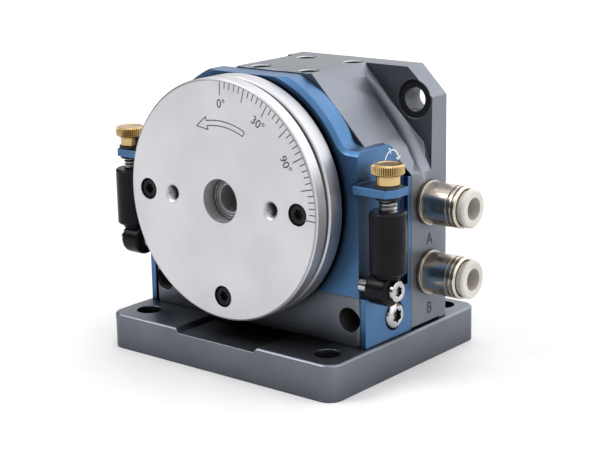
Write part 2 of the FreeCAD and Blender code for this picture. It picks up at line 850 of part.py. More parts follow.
def bearing(inner_r, outer_r, width, front_y, ball_r, count):
    """Inner ring, outer ring and balls of a deep groove ball bearing."""
    middle_r = (inner_r + outer_r) / 2
    land = ring_land * ball_r
    rear = front_y + width
    middle_y = front_y + width / 2
    race = Part.makeTorus(middle_r, ball_r + running_gap, V(0, middle_y, axis_height), REAR)
    inner = along_y(middle_r - land, front_y, rear).cut(along_y(inner_r, front_y, rear))
    outer = along_y(outer_r, front_y, rear).cut(along_y(middle_r + land, front_y, rear))
    balls = [Part.makeSphere(ball_r, V(x, middle_y, z)) for x, z in around_axis(middle_r, count, 0)]
    return solid(inner.cut(race)), solid(outer.cut(race)), balls


def rear_cap():
    """Cap over the rear bearing, open in the middle for the hollow shaft."""
    cap = along_y(rear_cap_r, rear_bearing_rear_y, rear_y)
    cap = cap.cut(along_y(rear_cap_hole_r, rear_bearing_rear_y, rear_y))
    head_r, head_height, shank_r, _ = M2_FLAT
    for x, z in around_axis(cap_screw_circle_r, 3, 90):
        cap = cap.cut(along_y(shank_r, rear_bearing_rear_y, rear_y, x, z))
        cap = cap.cut(Part.makeCone(head_r, shank_r, head_height, V(x, rear_y, z), -REAR))
    return solid(cap)


def rear_cap_screws():
    screw = flat_screw(M2_FLAT, cap_screw_length)
    return [placed(screw, V(x, rear_y, z), REAR) for x, z in around_axis(cap_screw_circle_r, 3, 90)]


def plug_pieces(z):
    """End plug with a hexagon socket, and its O-ring."""
    ring_x = plug_inner_x - 2 * plug_ring_r
    ring = Part.makeTorus(plug_r - plug_ring_r, plug_ring_r, V(ring_x, rack_y, z), RIGHT)
    plug = along_x(plug_r, -body_half, plug_inner_x, rack_y, z).cut(ring)
    socket = placed(hexagon(plug_socket_r, plug_socket_depth), V(-body_half, rack_y, z), -RIGHT)
    return solid(plug.cut(socket)), ring


def damper():
    """Damper cylinder, bored for the stud above and the eye's spigot below."""
    tube = along_z(damper_r, damper_bottom_z, damper_top_z, damper_x, damper_y)
    tube = chamfered(tube, edge_break, lambda edge: edge.Curve.TypeId == "Part::GeomCircle")
    hole_z = stud_bottom_z - stud_hole_spare
    tube = tube.cut(along_z(stud_r + running_gap, hole_z, damper_top_z, damper_x, damper_y))
    spigot_z = damper_bottom_z + eye_spigot_length
    return solid(tube.cut(along_z(eye_spigot_r, damper_bottom_z, spigot_z, damper_x, damper_y)))


def damper_eye():
    """Rounded eye under the damper, with its neck and spigot."""
    eye = along_x(eye_r, eye_inner_x, eye_outer_x, damper_y, eye_z)
    eye = filleted(eye, eye_round, lambda edge: edge.Curve.TypeId == "Part::GeomCircle")
    neck = along_z(eye_neck_r, damper_bottom_z - eye_neck_height, damper_bottom_z, damper_x, damper_y)
    spigot_z = damper_bottom_z + eye_spigot_length
    spigot = along_z(eye_spigot_r, damper_bottom_z, spigot_z, damper_x, damper_y)
    eye = eye.fuse([neck, spigot])
    eye = eye.cut(along_x(stop_pin_r, eye_inner_x, eye_inner_x + stop_pin_grip, stop_pin_y, eye_z))
    screw_x = eye_outer_x - eye_screw_length
    return solid(eye.cut(along_x(M3_LOW[2], screw_x, eye_outer_x, damper_y, eye_z)))


def stop_pin():
    """Pin from the eye through the cheek to the stop dog, with a spacer collar beside the eye."""
    pin = along_x(stop_pin_r, stop_pin_tip_x, eye_inner_x + stop_pin_grip, stop_pin_y, eye_z)
    collar = along_x(pin_collar_r, pocket_x + pin_collar_gap, eye_inner_x, damper_y, eye_z)
    return solid(pin.fuse(collar))


def eye_screw():
    return placed(cap_screw(M3_LOW, eye_screw_length), V(eye_outer_x, damper_y, eye_z), RIGHT)


def knob():
    """Adjusting knob on the stud, above the tab."""
    head = along_z(knob_r, knob_head_z, knob_head_z + knob_height, damper_x, damper_y)
    head = chamfered(head, edge_break, lambda edge: edge.Curve.TypeId == "Part::GeomCircle")
    piece = head.fuse(along_z(knob_neck_r, knob_foot_z, knob_head_z, damper_x, damper_y))
    return solid(piece.cut(along_z(stud_r, knob_foot_z, knob_head_z, damper_x, damper_y)))


def stud_ring(outer_r, low_z, high_z):
    ring = along_z(outer_r, low_z, high_z, damper_x, damper_y)
    return solid(ring.cut(along_z(stud_r, low_z, high_z, damper_x, damper_y)))


def side_pieces():
    """Pieces of the right-hand damper column by name."""
    clip_top = tab_bottom_z - running_gap
    return {
        "damper": damper(),
        "damper_eye": damper_eye(),
        "stop_pin": stop_pin(),
        "eye_screw": eye_screw(),
        "knob": knob(),
        "knob_washer": stud_ring(washer_r, tab_top_z + running_gap, knob_foot_z),
        "stud": along_z(stud_r, stud_bottom_z, knob_head_z, damper_x, damper_y),
        "stud_clip": stud_ring(stud_clip_r, clip_top - stud_clip_thick, clip_top),
    }


def port_fitting(z):
    """Push-in tube fitting with a face ring, grip grooves and a stem in the port."""
    stem_x = body_half - spigot_length
    pocket_x0 = fitting_end_x - collet_depth - collet_gap
    barrel = along_x(fitting_r, body_half, fitting_end_x, port_y, z)
    flats_end_x = body_half + fitting_flange_thick + fitting_hex_length
    flats = hexagon((fitting_r - fitting_flat) / math.cos(math.pi / 6), flats_end_x - body_half)
    grip = along_x(fitting_r, body_half, flats_end_x, port_y, z)
    grip = grip.cut(placed(flats, V(flats_end_x, port_y, z), RIGHT))
    barrel = barrel.cut(grip)
    barrel = chamfered(barrel, edge_break, lambda edge: level(edge, RIGHT, fitting_end_x))
    ring = along_x(fitting_flange_r, body_half, body_half + fitting_flange_thick, port_y, z)
    piece = barrel.fuse([ring, along_x(port_r - running_gap, stem_x, body_half, port_y, z)])
    for number in (1, 2):
        groove_x = fitting_end_x - number * fitting_groove_pitch
        groove_end_x = groove_x + fitting_groove_width
        groove = along_x(fitting_r, groove_x, groove_end_x, port_y, z)
        floor = along_x(fitting_r - fitting_groove_depth, groove_x, groove_end_x, port_y, z)
        piece = piece.cut(groove.cut(floor))
    piece = piece.cut(along_x(collet_neck_r + running_gap, pocket_x0, fitting_end_x, port_y, z))
    return solid(piece.cut(along_x(tube_passage_r, stem_x, pocket_x0, port_y, z)))


def collet(z):
    """Release collet that is pressed in to free the tube."""
    inner_x = fitting_end_x - collet_depth
    flange_x = fitting_end_x + collet_gap
    outer_x = flange_x + collet_flange_thick
    neck = along_x(collet_neck_r, inner_x, flange_x, port_y, z)
    flange = along_x(collet_flange_r, flange_x, outer_x, port_y, z)
    flange = chamfered(flange, edge_break, lambda edge: level(edge, RIGHT, outer_x))
    return solid(neck.fuse(flange).cut(along_x(tube_r, inner_x, outer_x, port_y, z)))


def main():
    os.makedirs("parts", exist_ok=True)
    export("base_plate", base_plate())
    export("base_screws", *base_screws())
    export("actuator_body", actuator_body())
    export("front_housing", front_housing())
    export("housing_screws", *housing_screws())
    export("leg_screws", *leg_screws())
    export("table_plate", table_plate())
    export("table_hub", table_hub())
    export("table_screws", *table_screws())
    export("pinion_shaft", pinion_shaft())
    export("shaft_pins", *shaft_pins())
    export("rear_cap", rear_cap())
    export("rear_cap_screws", *rear_cap_screws())
    front_rings = (journal_r, front_bearing_r, front_bearing_width, body_front_y)
    rear_rings = (shaft_r, rear_bearing_r, rear_bearing_width, rear_bearing_front_y)
    bearings = {
        "front": bearing(*front_rings, front_ball_r, front_ball_count),
        "rear": bearing(*rear_rings, rear_ball_r, rear_ball_count),
    }
    for name, (inner, outer, balls) in bearings.items():
        export(name + "_bearing_inner", inner)
        export(name + "_bearing_outer", outer)
        export(name + "_bearing_balls", *balls)
    reach = pitch_r + addendum + tip_gap
    export("upper_rack", rack(-reach, rack_travel + reach, 0))
    export("upper_rack_seal", rack_seal(0))
    export("lower_rack", lower(rack(-rack_travel - reach, reach, rack_travel)))
    export("lower_rack_seal", lower(rack_seal(rack_travel)))
    plugs, rings = zip(*[plug_pieces(z) for z in rack_heights])
    export("end_plugs", *plugs)
    export("plug_o_rings", *rings)
    for name, piece in side_pieces().items():
        export("right_" + name, piece)
        export("left_" + name, mirrored(piece))
    for letter, z in zip("ab", port_heights):
        export("port_" + letter + "_fitting", port_fitting(z))
        export("port_" + letter + "_collet", collet(z))


main()
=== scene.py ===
import json
import math

import bmesh
import bpy
from mathutils import Matrix, Vector

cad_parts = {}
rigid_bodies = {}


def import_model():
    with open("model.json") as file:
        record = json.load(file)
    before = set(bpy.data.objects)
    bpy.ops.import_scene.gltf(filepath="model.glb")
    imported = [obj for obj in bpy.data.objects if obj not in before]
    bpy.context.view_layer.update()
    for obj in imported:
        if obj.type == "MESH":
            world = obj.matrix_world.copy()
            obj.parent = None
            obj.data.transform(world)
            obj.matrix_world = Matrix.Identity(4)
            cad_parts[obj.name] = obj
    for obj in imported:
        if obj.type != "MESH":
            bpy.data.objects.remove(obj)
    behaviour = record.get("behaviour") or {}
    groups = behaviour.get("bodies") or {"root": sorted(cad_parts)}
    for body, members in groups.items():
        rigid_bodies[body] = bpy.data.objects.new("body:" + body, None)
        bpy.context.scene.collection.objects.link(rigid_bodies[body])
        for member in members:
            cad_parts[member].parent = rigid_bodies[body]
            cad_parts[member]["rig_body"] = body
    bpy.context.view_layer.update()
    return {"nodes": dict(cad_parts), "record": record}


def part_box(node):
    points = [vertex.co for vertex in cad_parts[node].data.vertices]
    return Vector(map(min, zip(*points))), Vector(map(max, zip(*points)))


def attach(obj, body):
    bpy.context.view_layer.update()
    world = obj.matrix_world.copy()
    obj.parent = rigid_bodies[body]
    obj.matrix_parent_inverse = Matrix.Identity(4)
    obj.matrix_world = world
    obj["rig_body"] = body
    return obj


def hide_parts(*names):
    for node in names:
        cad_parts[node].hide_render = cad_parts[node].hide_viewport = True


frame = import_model()

MM = 0.001
UP = Vector((0, 0, 1))
FRONT = Vector((0, -1, 0))
RIGHT = Vector((1, 0, 0))

# Dial on the table, degrees clockwise from the top
DIAL_START = 2.0
DIAL_STEP = 3.0
DIAL_COUNT = 31
DIAL_LONG_EVERY = 5
TICK_OUTER = 32.4 * MM
TICK_SHORT = 30.5 * MM
TICK_LONG = 28.6 * MM
TICK_WIDTH = 0.29 * MM
MARK_THICK = 0.02 * MM
DIAL_NUMBERS = (("0°", 2.9), ("30°", 31.8), ("90°", 60.9))
NUMBER_R = 25.3 * MM
NUMBER_SIZE = 3.3 * MM
NUMBER_BOLD = 0.025 * MM
ARROW_R = 21.1 * MM
ARROW_HALF = 0.7 * MM
ARROW_HEAD_HALF = 1.75 * MM
ARROW_TAIL = 25.2
ARROW_NECK = -10.8
ARROW_TIP = -20.9
ARROW_OUTER_BARB = 0.4
ARROW_INNER_BARB = 0.8
ARROW_LINE = 0.29 * MM
ARROW_STEPS = 18

# Turning symbol on the right ear: an arc, and heads by the degrees of outer barb, tip and inner barb
SYMBOL_Y = -3.7 * MM
SYMBOL_Z = 58.2 * MM
SYMBOL_R = 3.0 * MM
SYMBOL_LINE = 0.3 * MM
SYMBOL_START = 200
SYMBOL_STEP = 8
SYMBOL_POINTS = 26
SYMBOL_BARB = 0.9 * MM
SYMBOL_HEADS = ((110, 98, 108), (14, 0, 16))

# Letters by the ports
LETTER_SIZE = 4.6 * MM
LETTER_DROP = 10.2 * MM
LETTER_MIDDLE = 0.35
LETTER_BOLD = 0.07 * MM

# Threads and knurls
STUD_PITCH = 0.9 * MM
STUD_DEPTH = 0.4 * MM
TAP_PITCH = 0.8 * MM
TAP_DEPTH = 0.34 * MM
LIP_PITCH = 1.25 * MM
LIP_DEPTH = 0.45 * MM
KNURL_COUNT = 44
KNURL_DEPTH = 0.36 * MM
COIL_HALF = 0.42
COIL_END = 0.8
CUP_LAND = 0.03 * MM
CUP_FLOOR = 0.3

# Points round a circle
ROUND_STEPS = 64
FINE_STEPS = 96
SCREW_STEPS = 72
COIL_STEPS = 40
CUP_STEPS = 48
KNURL_STEPS = 6

# Shade of the turned table by distance from its axis in millimetres: painted shade in the bore and as a thin
# dark line at the edge of the face, and a slightly darker rim
TABLE_PAINTED_SHADES = ((5.9, 0.8), (6.15, 1.0), (32.3, 1.0), (32.4, 0.4), (32.55, 0.4), (32.75, 0.89))
TABLE_SPAN = 40.0 * MM

# Turned metal: its rings, its shades, and how metallic its face and its rim are
TURNED_SCALE = 900
TURNED_DISTORTION = 1.5
TURNED_DETAIL = 3
TURNED_DETAIL_SCALE = 2
TURNED_GRAIN = 60
TURNED_DARK = (0.535, 0.531, 0.557)
TURNED_LIGHT = (0.592, 0.588, 0.613)
TURNED_ROUGH = (0.36, 0.46)
TURNED_BUMP = 0.06
TURNED_DEPTH = 0.00001
FACE_METALLIC = 0.6
RIM_METALLIC = 1.0
RIM_BLEND = 0.2 * MM

# Other finishes: slow changes of shade in grains per metre, and strength of the fine grain
SLOW_GRAIN = 90
SLOW_DETAIL = 3.0
FINE_DETAIL = 5.0
FINE_BUMP = 0.25

# Painted shade in the corners and holes of each finish: reach, deepest shade, and the openness at which it
# is full and none
GRAY_PAINTED_CORNER_SHADE = (24 * MM, 0.12, 0.28, 0.74)
BLUE_PAINTED_CORNER_SHADE = (15 * MM, 0.03, 0.5, 0.74)
TABLE_PAINTED_CORNER_SHADE = (6 * MM, 0.2, 0.28, 0.74)
STEEL_PAINTED_CORNER_SHADE = (10 * MM, 0.06, 0.28, 0.74)
TAP_PAINTED_CORNER_SHADE = (3 * MM, 0.05, 0.34, 0.86)
SCREW_PAINTED_CORNER_SHADE = (6 * MM, 0.04, 0.3, 0.85)
BRASS_PAINTED_CORNER_SHADE = (0.8 * MM, 0.35, 0.4, 0.9)
NICKEL_PAINTED_CORNER_SHADE = (2.0 * MM, 0.06, 0.35, 0.9)
CORNER_SAMPLES = 6

# Surround: direction of its bright side, and its strength there and opposite
SKY_TOWARD = (0.5, 0.5, 0.71)
SKY_DIM = 0.03
SKY_BRIGHT = 2.5
SKY_DIM_AT = -0.25
SKY_BRIGHT_AT = 1.0

# Lamps and floor
KEY_FROM = (-0.5, -0.55, 0.67)
KEY_STRENGTH = 1.8
KEY_ANGLE = math.radians(30)
SIDE_PLACE = (0.75, 0.3, 0.35)
SIDE_SIZE = (0.4, 0.5)
SIDE_POWER = 0.25
FLOOR_REACH = 4.0

# Camera: turn, rise and roll in degrees, place in millimetres
CAMERA_ANGLES = (39.314, 14.339, -1.022)
CAMERA_PLACE = (267.079, -322.676, 141.647)
CAMERA_LENS = 91.68
CAMERA_SENSOR = 36.0
CAMERA_NEAR = 0.01
CAMERA_FAR = 20

# Sizes that the dressed pieces share with the solids
FACE_R = 32.55 * MM
TABLE_HEAD_R = 2.75 * MM
TABLE_HEAD_HEIGHT = 2.8 * MM
TABLE_SHANK_R = 1.5 * MM
WELL_R = 2.98 * MM
LEG_HEAD_HEIGHT = 2.2 * MM
LEG_SHANK_R = 2.0 * MM
LEG_LENGTH = 8.0 * MM
EYE_HEAD_HEIGHT = 1.7 * MM
EYE_SHANK_R = 1.25 * MM
KNOB_NECK_R = 3.1 * MM
KNOB_HEAD = 2.9 * MM
TAP_R = 2.1 * MM
TAP_X = 17.5 * MM
TAP_LEAD = 0.4 * MM
TAP_LENGTH = 7.6 * MM
LIP_HOLE_R = 3.3 * MM
LIP_HOLE_X = 33.5 * MM
LIP_HOLE_Z = 17.4 * MM
LIP_HOLE_LEAD = 0.4 * MM
LIP_HOLE_LENGTH = 7.5 * MM
LIP_FRONT_Y = -17.8 * MM
CHEEK_X = 37.4 * MM
TOP_HOLE_R = 2.5 * MM
TOP_HOLE_XS = (-2.7 * MM, 13.9 * MM)
TOP_HOLE_YS = (-8.5 * MM, 11.0 * MM)
TOP_HOLE_BREAK = 0.5 * MM
TOP_HOLE_LENGTH = 9.4 * MM
EAR_HOLE_X = 33.3 * MM
EAR_HOLE_Z = 72.0 * MM
EAR_HOLE_R = 3.2 * MM
EAR_FRONT_Y = 12.3 * MM
EAR_SPOT_R = 5.2 * MM
EAR_SPOT_DEPTH = 0.5 * MM

# Star sockets as shares of their radius, screw heads as shares of their own sizes
TABLE_SOCKET_R = 1.35 * MM
LEG_SOCKET_R = 1.75 * MM
EYE_SOCKET_R = 1.3 * MM
STAR_LOBES = 6
STAR_WAVE = 0.13
STAR_MOUTH = 1.22
STAR_TIP = 0.3
STAR_LEAD = 0.12 * MM
STAR_CONE = 0.2 * MM
SHANK_TIP = 0.7
SHANK_TIP_HEIGHT = 0.3
CAP_RIM = 0.12
CAP_SOCKET = 0.5
DOME_FOOT = 0.22
DOME_RISE = 0.78
DOME_FLAT = 1.3
DOME_SOCKET = 0.55
DOME_PARTS = 6

# Ring round an eye screw in millimetres: distance from its head, and height
EYE_RING = ((0.12, 0.0), (0.12, 0.35), (0.4, 0.35), (0.55, 0.2), (0.6, 0.0))

# Linings of holes; the black ones are painted shade
LINING_GAP = 0.01 * MM
WELL_HEAD_GAP = 0.04 * MM
WELL_EDGE = 0.12 * MM
WELL_RIM = 0.06 * MM
WELL_RIM_DROP = 0.1 * MM
CONE_INSET = 0.05 * MM
CONE_SHADE_TOP = 0.2 * MM
CONE_TOP = 0.44 * MM
EAR_FLOOR_START = 0.15 * MM
EAR_FLOOR_THICK = 0.1 * MM
EAR_RIM = 0.1 * MM
EAR_WALL = 0.25 * MM

# Turned rings on the floor of the table's bore: inner and outer radius, height
BORE_RINGS = (
    (5.3 * MM, 5.9 * MM, 0.3 * MM),
    (4.55 * MM, 4.95 * MM, 0.22 * MM),
    (3.85 * MM, 4.25 * MM, 0.25 * MM),
)
BORE_RING_BREAK = 0.04 * MM

# Knob: broken edges of its neck, groove, underside and top, and its dished top
KNOB_FOOT_BREAK = 0.3 * MM
KNOB_FOOT_HEIGHT = 0.25 * MM
KNOB_GROOVE = 0.25 * MM
KNOB_GROOVE_DROP = 0.1 * MM
KNOB_UNDER_BREAK = 0.55 * MM
KNOB_UNDER_HEIGHT = 0.45 * MM
KNOB_TOP_DROP = 0.4 * MM
KNOB_TOP_BREAK = 0.3 * MM
KNOB_TOP_BREAK_DROP = 0.06 * MM
KNOB_TOP_INSET = 0.45 * MM
KNOB_DISH_OUTER = 0.66
KNOB_DISH_INNER = 0.62
KNOB_DISH_DROP = 0.12 * MM

# Stud: broken edges of its core, and how far the thread sinks into it
STUD_FOOT_BREAK = 0.3 * MM
STUD_TOP_BREAK = 0.1 * MM
STUD_TOP_DROP = 0.05 * MM
STUD_SINK = 0.02 * MM

# Width of the softened edges of the nodes that show
EDGE_WIDTHS = {
    "base_plate": 0.22 * MM,
    "actuator_body": 0.2 * MM,
    "front_housing": 0.18 * MM,
    "table_plate": 0.1 * MM,
    "table_hub": 0.1 * MM,
    "rear_cap": 0.1 * MM,
    "right_damper": 0.1 * MM,
    "left_damper": 0.1 * MM,
    "right_damper_eye": 0.1 * MM,
    "left_damper_eye": 0.1 * MM,
    "port_a_fitting": 0.1 * MM,
    "port_b_fitting": 0.1 * MM,
    "port_a_collet": 0.1 * MM,
    "port_b_collet": 0.1 * MM,
}
EDGE_SEGMENTS = 3
WELD_REACH = 1e-6

# Least turn of an edge that is softened; the block's top holes lie close to its gentler edges
EDGE_TURN = math.radians(25)
BLOCK_EDGE_TURN = math.radians(50)

# Least turn of an edge that is shaded sharp, on softened nodes and on the pieces made here
SPLIT_TURN = math.radians(40)
SHARP_ANGLE = math.radians(32)


def middle_of(node):
    """Middle of a node's box."""
    low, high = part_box(node)
    return (low + high) / 2


def slot_of(node):
    """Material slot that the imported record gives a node."""
    rows = {row["node"]: row["material_slot"] for row in frame["record"]["subparts"]}
    return rows[node]


def body_of(node):
    """Body that a node rides on."""
    return frame["nodes"][node]["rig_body"]


def new_tree(name):
    """Material with a principled shader, and its node tree."""
    material = bpy.data.materials.new(name)
    material.use_nodes = True
    tree = material.node_tree
    return material, tree, tree.nodes["Principled BSDF"]


def noise_of(tree, scale, detail, stretch=(1, 1, 1)):
    """Noise in the part's own coordinates; scale counts grains per metre."""
    place = tree.nodes.new("ShaderNodeTexCoord")
    mapping = tree.nodes.new("ShaderNodeMapping")
    mapping.inputs["Scale"].default_value = stretch
    noise = tree.nodes.new("ShaderNodeTexNoise")
    noise.inputs["Scale"].default_value = scale
    noise.inputs["Detail"].default_value = detail
    tree.links.new(place.outputs["Object"], mapping.inputs["Vector"])
    tree.links.new(mapping.outputs["Vector"], noise.inputs["Vector"])
    return noise


def ramp_of(tree, source, dark, light, low=0.35, high=0.65):
    """Colours between two shades, driven by a source."""
    ramp = tree.nodes.new("ShaderNodeValToRGB")
    ramp.color_ramp.elements[0].position = low
    ramp.color_ramp.elements[0].color = (*dark, 1)
    ramp.color_ramp.elements[1].position = high
    ramp.color_ramp.elements[1].color = (*light, 1)
    tree.links.new(source, ramp.inputs["Fac"])
    return ramp


def multiplied(tree, first, second):
    """Product of two colours."""
    both = tree.nodes.new("ShaderNodeMix")
    both.data_type = "RGBA"
    both.blend_type = "MULTIPLY"
    both.inputs[0].default_value = 1.0
    tree.links.new(first, both.inputs[6])
    tree.links.new(second, both.inputs[7])
    return both.outputs[2]


def corner_shade(tree, reach, deepest, full, none):
    """Shade that falls in holes and corners within a reach, full and none at those shares of openness."""
    openness = tree.nodes.new("ShaderNodeAmbientOcclusion")
    openness.samples = CORNER_SAMPLES
    openness.inputs["Distance"].default_value = reach
    ramp = ramp_of(tree, openness.outputs["AO"], (deepest, deepest, deepest), (1, 1, 1), full, none)
    return ramp.outputs["Color"]


def colour_between(tree, shader, source, dark, light, corners):
    """Base colour between two shades, with painted shade in corners and holes where it is given."""
    colour = ramp_of(tree, source, dark, light).outputs["Color"]
    # Painted shade: the colour darkens where the surface is closed in
    if corners:
        colour = multiplied(tree, colour, corner_shade(tree, *corners))
    tree.links.new(colour, shader.inputs["Base Color"])


def roughness_between(tree, shader, source, low, high):
    """Roughness between two values, driven by a source."""
    span = tree.nodes.new("ShaderNodeMapRange")
    span.inputs["To Min"].default_value = low
    span.inputs["To Max"].default_value = high
    tree.links.new(source, span.inputs["Value"])
    tree.links.new(span.outputs["Result"], shader.inputs["Roughness"])


def bump_from(tree, shader, source, strength, distance):
    """Fine relief, driven by a source."""
    bump = tree.nodes.new("ShaderNodeBump")
    bump.inputs["Strength"].default_value = strength
    bump.inputs["Distance"].default_value = distance
    tree.links.new(source, bump.inputs["Height"])
    tree.links.new(bump.outputs["Normal"], shader.inputs["Normal"])


def surface(name, dark, light, metallic, rough, grain, depth, stretch=(1, 1, 1), gloss=0.5, corners=None):
    """Finish with slow changes of shade, fine grain in roughness and height, and painted shade in corners
    and holes.
    """
    material, tree, shader = new_tree(name)
    slow = noise_of(tree, SLOW_GRAIN, SLOW_DETAIL)
    fine = noise_of(tree, grain, FINE_DETAIL, stretch)
    colour_between(tree, shader, slow.outputs["Fac"], dark, light, corners)
    roughness_between(tree, shader, fine.outputs["Fac"], *rough)
    bump_from(tree, shader, fine.outputs["Fac"], FINE_BUMP, depth)
    shader.inputs["Metallic"].default_value = metallic
    shader.inputs["Specular IOR Level"].default_value = gloss
    return material


def turned_metal(name, centre):
    """Turned metal with faint rings about the table axis, with painted shade in the bore, on a thin line at
    the edge of the face and in corners, and a slightly darker rim.
    """
    material, tree, shader = new_tree(name)
    place = tree.nodes.new("ShaderNodeTexCoord")
    mapping = tree.nodes.new("ShaderNodeMapping")
    mapping.inputs["Location"].default_value = (-centre.x, 0, -centre.z)
    rings = tree.nodes.new("ShaderNodeTexWave")
    rings.wave_type = "RINGS"
    rings.rings_direction = "Y"
    rings.inputs["Scale"].default_value = TURNED_SCALE
    rings.inputs["Distortion"].default_value = TURNED_DISTORTION
    rings.inputs["Detail"].default_value = TURNED_DETAIL
    rings.inputs["Detail Scale"].default_value = TURNED_DETAIL_SCALE
    tree.links.new(place.outputs["Object"], mapping.inputs["Vector"])
    tree.links.new(mapping.outputs["Vector"], rings.inputs["Vector"])
    flat = tree.nodes.new("ShaderNodeVectorMath")
    flat.operation = "MULTIPLY"
    flat.inputs[1].default_value = (1, 0, 1)
    reach = tree.nodes.new("ShaderNodeVectorMath")
    reach.operation = "LENGTH"
    share = tree.nodes.new("ShaderNodeMapRange")
    share.inputs["From Max"].default_value = TABLE_SPAN
    tree.links.new(mapping.outputs["Vector"], flat.inputs[0])
    tree.links.new(flat.outputs["Vector"], reach.inputs[0])
    tree.links.new(reach.outputs["Value"], share.inputs["Value"])
    painted_shade_zones = tree.nodes.new("ShaderNodeValToRGB")
    stops = painted_shade_zones.color_ramp.elements
    while len(stops) < len(TABLE_PAINTED_SHADES):
        stops.new(0.5)
    for stop, (distance, shade) in zip(stops, TABLE_PAINTED_SHADES):
        stop.position = distance * MM / TABLE_SPAN
        stop.color = (shade, shade, shade, 1)
    tree.links.new(share.outputs["Result"], painted_shade_zones.inputs["Fac"])
    slow = noise_of(tree, TURNED_GRAIN, SLOW_DETAIL)
    face = ramp_of(tree, slow.outputs["Fac"], TURNED_DARK, TURNED_LIGHT)
    # Painted shade in the bore and on a thin line at the edge of the face, by distance from the axis
    colour = multiplied(tree, face.outputs["Color"], painted_shade_zones.outputs["Color"])
    # Painted shade in the table's corners and holes
    colour = multiplied(tree, colour, corner_shade(tree, *TABLE_PAINTED_CORNER_SHADE))
    tree.links.new(colour, shader.inputs["Base Color"])
    roughness_between(tree, shader, rings.outputs["Fac"], *TURNED_ROUGH)
    bump_from(tree, shader, rings.outputs["Fac"], TURNED_BUMP, TURNED_DEPTH)
    bare = tree.nodes.new("ShaderNodeMapRange")
    bare.inputs["From Min"].default_value = FACE_R
    bare.inputs["From Max"].default_value = FACE_R + RIM_BLEND
    bare.inputs["To Min"].default_value = FACE_METALLIC
    bare.inputs["To Max"].default_value = RIM_METALLIC
    tree.links.new(reach.outputs["Value"], bare.inputs["Value"])
    tree.links.new(bare.outputs["Result"], shader.inputs["Metallic"])
    return material


def make_finishes():
    """One finish for each material slot of the record, two for lined holes, the black one as painted shade,
    and three for marks.
    """
    axis = middle_of("table_plate")
    return {
        "gray_anodised": surface(
            "gray_anodised", (0.158, 0.172, 0.199), (0.179, 0.193, 0.222), metallic=0.96,
            rough=(0.34, 0.44), grain=2600, depth=0.00002, corners=GRAY_PAINTED_CORNER_SHADE),
        "blue_anodised": surface(
            "blue_anodised", (0.056, 0.132, 0.262), (0.068, 0.152, 0.295), metallic=0.94,
            rough=(0.3, 0.4), grain=2600, depth=0.00002, corners=BLUE_PAINTED_CORNER_SHADE),
        "turned_aluminium": turned_metal("turned_aluminium", axis),
        "black_steel": surface(
            "black_steel", (0.004, 0.004, 0.005), (0.008, 0.008, 0.01), metallic=0.0,
            rough=(0.32, 0.48), grain=1800, depth=0.00002, gloss=0.16),
        "stainless": surface(
            "stainless", (0.4, 0.4, 0.403), (0.49, 0.49, 0.493), metallic=1.0,
            rough=(0.14, 0.24), grain=1500, depth=0.00001, corners=SCREW_PAINTED_CORNER_SHADE),
        "steel": surface(
            "steel", (0.42, 0.41, 0.4), (0.52, 0.51, 0.5), metallic=1.0,
            rough=(0.22, 0.36), grain=1500, depth=0.00001, stretch=(1, 1, 0.2), corners=STEEL_PAINTED_CORNER_SHADE),
        "cap_gray": surface(
            "cap_gray", (0.16, 0.17, 0.185), (0.19, 0.2, 0.215), metallic=0.4,
            rough=(0.42, 0.55), grain=2200, depth=0.00002),
        "seal_rubber": surface(
            "seal_rubber", (0.012, 0.012, 0.013), (0.022, 0.022, 0.023), metallic=0.0,
            rough=(0.6, 0.75), grain=1400, depth=0.00003),
        "brass": surface(
            "brass", (0.485, 0.34, 0.155), (0.565, 0.405, 0.19), metallic=0.9,
            rough=(0.17, 0.27), grain=1700, depth=0.00001, corners=BRASS_PAINTED_CORNER_SHADE),
        "damper_black": surface(
            "damper_black", (0.005, 0.005, 0.007), (0.009, 0.009, 0.011), metallic=0.0,
            rough=(0.2, 0.3), grain=2000, depth=0.00001, gloss=0.09),
        "nickel": surface(
            "nickel", (0.52, 0.46, 0.388), (0.59, 0.527, 0.447), metallic=1.0,
            rough=(0.19, 0.27), grain=1300, depth=0.000005, corners=NICKEL_PAINTED_CORNER_SHADE),
        "collet_ivory": surface(
            "collet_ivory", (0.42, 0.392, 0.35), (0.5, 0.47, 0.425), metallic=0.0,
            rough=(0.34, 0.46), grain=1600, depth=0.00001),
        "tap_metal": surface(
            "tap_metal", (0.34, 0.34, 0.345), (0.44, 0.44, 0.445), metallic=0.9,
            rough=(0.2, 0.32), grain=1800, depth=0.00001, corners=TAP_PAINTED_CORNER_SHADE),
        # Black for the linings of holes and gaps, as painted shade
        "hole_painted_shade": surface(
            "hole_painted_shade", (0.004, 0.004, 0.005), (0.008, 0.008, 0.009), metallic=0.0,
            rough=(0.45, 0.6), grain=1800, depth=0.00001, gloss=0.2),
        "dark_mark": surface(
            "dark_mark", (0.03, 0.03, 0.034), (0.055, 0.055, 0.06), metallic=0.0,
            rough=(0.5, 0.65), grain=2500, depth=0.00001),
        "letter_mark": surface(
            "letter_mark", (0.028, 0.032, 0.042), (0.046, 0.051, 0.063), metallic=0.0,
            rough=(0.5, 0.65), grain=2500, depth=0.00001, gloss=0.1),
        "pale_mark": surface(
            "pale_mark", (0.62, 0.66, 0.7), (0.75, 0.78, 0.8), metallic=0.0,
            rough=(0.45, 0.6), grain=2500, depth=0.00001),
    }


